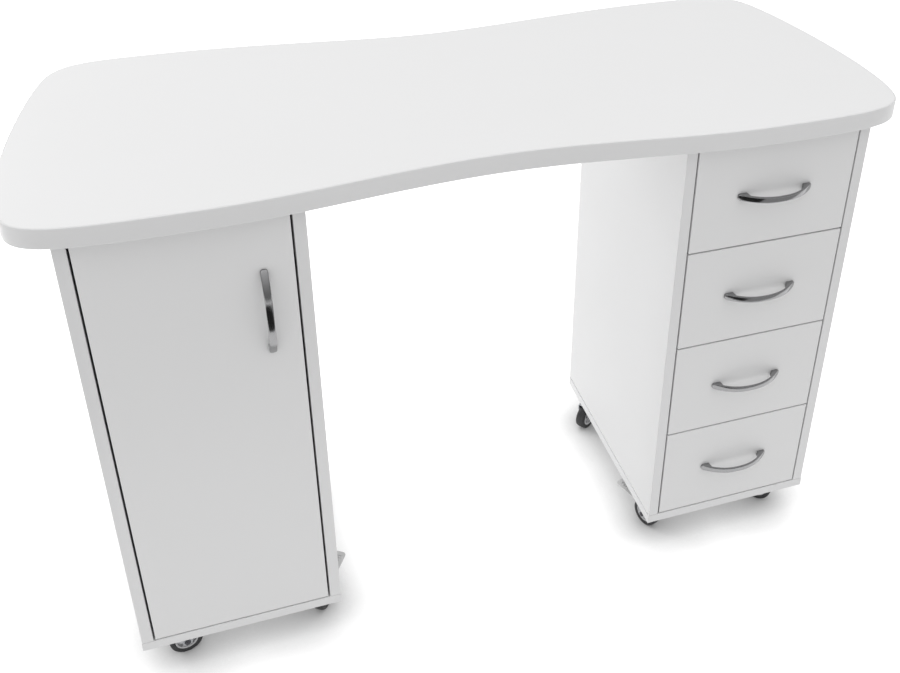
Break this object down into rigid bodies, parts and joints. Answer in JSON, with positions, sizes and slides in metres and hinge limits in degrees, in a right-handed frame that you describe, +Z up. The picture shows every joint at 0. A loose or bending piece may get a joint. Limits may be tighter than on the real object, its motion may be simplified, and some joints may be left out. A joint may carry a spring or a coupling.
{
  "type": "manicure table",
  "caption": "White manicure table: a waisted worktop on a hinged-door cabinet and a drawer cabinet, with a knee space between them, standing on swivel castors.",
  "frame": {"origin": "on the floor, under the middle of the whole table's bounding box", "axes": "+X along the table towards the drawer cabinet, -Y towards the side with the door and drawer fronts, +Z up"},
  "size_m": [1.21, 0.4662, 0.8],
  "materials": {
    "white_melamine": "melamine-faced board, smooth matt",
    "white_edge_band": "plastic edge band, satin",
    "white_hardboard": "painted thin board, matt",
    "satin_chrome": "satin",
    "white_coated_steel": "epoxy coated",
    "nickel_plated_steel": "nickel plated",
    "zinc_plated_steel": "zinc plated",
    "black_tyre": "black tread, grey hub in the visual",
    "grey_plastic": "moulded, matt"
  },
  "bodies": {
    "table": {"worktop": "white_melamine", "worktop_edge_band": "white_edge_band", "door_cabinet_outer_side": "white_melamine", "door_cabinet_inner_side": "white_melamine", "door_cabinet_bottom": "white_melamine", "door_cabinet_back": "white_hardboard", "door_cabinet_front_rail": "white_melamine", "door_cabinet_rear_rail": "white_melamine", "drawer_cabinet_outer_side": "white_melamine", "drawer_cabinet_inner_side": "white_melamine", "drawer_cabinet_bottom": "white_melamine", "drawer_cabinet_back": "white_hardboard", "drawer_cabinet_front_rail": "white_melamine", "drawer_cabinet_rear_rail": "white_melamine", "door_cabinet_shelf": "white_melamine", "door_hinge_arm_upper": "nickel_plated_steel", "door_hinge_arm_lower": "nickel_plated_steel", "runner_1_outer": "white_coated_steel", "runner_1_inner": "white_coated_steel", "runner_2_outer": "white_coated_steel", "runner_2_inner": "white_coated_steel", "runner_3_outer": "white_coated_steel", "runner_3_inner": "white_coated_steel", "runner_4_outer": "white_coated_steel", "runner_4_inner": "white_coated_steel"},
    "door": {"door_panel": "white_melamine", "door_handle": "satin_chrome", "door_hinge_cup_upper": "nickel_plated_steel", "door_hinge_cup_lower": "nickel_plated_steel"},
    "drawer_1": {"drawer_1_front": "white_melamine", "drawer_1_box": "white_melamine", "drawer_1_handle": "satin_chrome"},
    "drawer_2": {"drawer_2_front": "white_melamine", "drawer_2_box": "white_melamine", "drawer_2_handle": "satin_chrome"},
    "drawer_3": {"drawer_3_front": "white_melamine", "drawer_3_box": "white_melamine", "drawer_3_handle": "satin_chrome"},
    "drawer_4": {"drawer_4_front": "white_melamine", "drawer_4_box": "white_melamine", "drawer_4_handle": "satin_chrome"},
    "castor_1": {"castor_1_fork": "zinc_plated_steel"},
    "wheel_1": {"castor_1_wheel": "black_tyre"},
    "castor_2": {"castor_2_fork": "zinc_plated_steel"},
    "wheel_2": {"castor_2_wheel": "black_tyre"},
    "castor_3": {"castor_3_fork": "zinc_plated_steel"},
    "wheel_3": {"castor_3_wheel": "black_tyre"},
    "castor_4": {"castor_4_fork": "zinc_plated_steel"},
    "wheel_4": {"castor_4_wheel": "black_tyre"},
    "castor_5": {"castor_5_fork": "zinc_plated_steel"},
    "wheel_5": {"castor_5_wheel": "black_tyre"},
    "castor_6": {"castor_6_fork": "zinc_plated_steel"},
    "wheel_6": {"castor_6_wheel": "black_tyre"},
    "castor_7": {"castor_7_fork": "zinc_plated_steel"},
    "wheel_7": {"castor_7_wheel": "black_tyre"},
    "castor_8": {"castor_8_fork": "zinc_plated_steel"},
    "wheel_8": {"castor_8_wheel": "black_tyre"},
    "brake_2": {"brake_pedal_2": "grey_plastic"},
    "brake_5": {"brake_pedal_5": "grey_plastic"}
  },
  "joints": [
    {"name": "door_hinge", "type": "hinge", "parent": "table", "child": "door", "pos_m": [-0.5165, -0.1994, 0.424], "axis": [0, 0, -1], "range_deg": [0, 100]},
    {"name": "drawer_1_slide", "type": "slide", "parent": "table", "child": "drawer_1", "axis": [0, -1, 0], "range_m": [0, 0.25]},
    {"name": "drawer_2_slide", "type": "slide", "parent": "table", "child": "drawer_2", "axis": [0, -1, 0], "range_m": [0, 0.25]},
    {"name": "drawer_3_slide", "type": "slide", "parent": "table", "child": "drawer_3", "axis": [0, -1, 0], "range_m": [0, 0.25]},
    {"name": "drawer_4_slide", "type": "slide", "parent": "table", "child": "drawer_4", "axis": [0, -1, 0], "range_m": [0, 0.25]},
    {"name": "swivel_castor_1", "type": "hinge", "parent": "table", "child": "castor_1", "pos_m": [-0.5135, -0.1734, 0.055], "axis": [0, 0, 1], "continuous": true},
    {"name": "wheel_castor_1", "type": "hinge", "parent": "castor_1", "child": "wheel_1", "pos_m": [-0.48986, -0.16923, 0.025], "axis": [-0.1736, 0.9848, 0], "continuous": true},
    {"name": "swivel_castor_2", "type": "hinge", "parent": "table", "child": "castor_2", "pos_m": [-0.2915, -0.1734, 0.055], "axis": [0, 0, 1], "continuous": true},
    {"name": "wheel_castor_2", "type": "hinge", "parent": "castor_2", "child": "wheel_2", "pos_m": [-0.27878, -0.15305, 0.025], "axis": [-0.848, 0.5299, 0], "continuous": true},
    {"name": "swivel_castor_3", "type": "hinge", "parent": "table", "child": "castor_3", "pos_m": [-0.5135, 0.1266, 0.055], "axis": [0, 0, 1], "continuous": true},
    {"name": "wheel_castor_3", "type": "hinge", "parent": "castor_3", "child": "wheel_3", "pos_m": [-0.49175, 0.13674, 0.025], "axis": [-0.4226, 0.9063, 0], "continuous": true},
    {"name": "swivel_castor_4", "type": "hinge", "parent": "table", "child": "castor_4", "pos_m": [-0.2915, 0.1266, 0.055], "axis": [0, 0, 1], "continuous": true},
    {"name": "wheel_castor_4", "type": "hinge", "parent": "castor_4", "child": "wheel_4", "pos_m": [-0.29971, 0.10405, 0.025], "axis": [0.9397, -0.342, 0], "continuous": true},
    {"name": "swivel_castor_5", "type": "hinge", "parent": "table", "child": "castor_5", "pos_m": [0.2915, -0.1734, 0.055], "axis": [0, 0, 1], "continuous": true},
    {"name": "wheel_castor_5", "type": "hinge", "parent": "castor_5", "child": "wheel_5", "pos_m": [0.28369, -0.15071, 0.025], "axis": [-0.9455, -0.3256, 0], "continuous": true},
    {"name": "swivel_castor_6", "type": "hinge", "parent": "table", "child": "castor_6", "pos_m": [0.5135, -0.1734, 0.055], "axis": [0, 0, 1], "continuous": true},
    {"name": "wheel_castor_6", "type": "hinge", "parent": "castor_6", "child": "wheel_6", "pos_m": [0.49807, -0.15501, 0.025], "axis": [-0.766, -0.6428, 0], "continuous": true},
    {"name": "swivel_castor_7", "type": "hinge", "parent": "table", "child": "castor_7", "pos_m": [0.2915, 0.1266, 0.055], "axis": [0, 0, 1], "continuous": true},
    {"name": "wheel_castor_7", "type": "hinge", "parent": "castor_7", "child": "wheel_7", "pos_m": [0.27184, 0.11283, 0.025], "axis": [0.5736, -0.8192, 0], "continuous": true},
    {"name": "swivel_castor_8", "type": "hinge", "parent": "table", "child": "castor_8", "pos_m": [0.5135, 0.1266, 0.055], "axis": [0, 0, 1], "continuous": true},
    {"name": "wheel_castor_8", "type": "hinge", "parent": "castor_8", "child": "wheel_8", "pos_m": [0.49095, 0.13481, 0.025], "axis": [-0.342, -0.9397, 0], "continuous": true},
    {"name": "brake_pedal_2_press", "type": "hinge", "parent": "castor_2", "child": "brake_2", "pos_m": [-0.27507, -0.14711, 0.0473], "axis": [-0.848, 0.5299, 0], "range_deg": [0, 15]},
    {"name": "brake_pedal_5_press", "type": "hinge", "parent": "castor_5", "child": "brake_5", "pos_m": [0.28141, -0.14409, 0.0473], "axis": [-0.9455, -0.3256, 0], "range_deg": [0, 15]}
  ]
}
